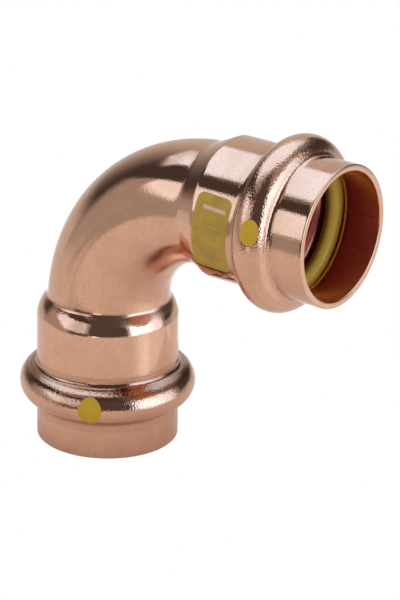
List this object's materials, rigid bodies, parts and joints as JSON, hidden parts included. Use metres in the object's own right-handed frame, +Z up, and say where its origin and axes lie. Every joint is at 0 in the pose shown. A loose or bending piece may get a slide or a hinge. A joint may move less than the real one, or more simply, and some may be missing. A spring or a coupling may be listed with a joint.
{
  "type": "press fit pipe elbow",
  "caption": "Bent copper pipe elbow with a press socket at each end; each socket has a stop step, a round bead that holds a yellow seal ring, and a short lip around its mouth.",
  "frame": {"origin": "centre of the lower socket's mouth", "axes": "+Z up the lower socket's axis, from its mouth into the fitting; +X out of the side socket's mouth; the bend lies in the XZ plane"},
  "size_m": [0.0634, 0.0306, 0.0634],
  "materials": {
    "copper": "formed bare copper, satin with clear reflections",
    "seal_rubber": "moulded yellow rubber, slightly glossy"
  },
  "bodies": {
    "root": {"elbow_body": "copper", "lower_seal": "seal_rubber", "side_seal": "seal_rubber"}
  },
  "joints": []
}
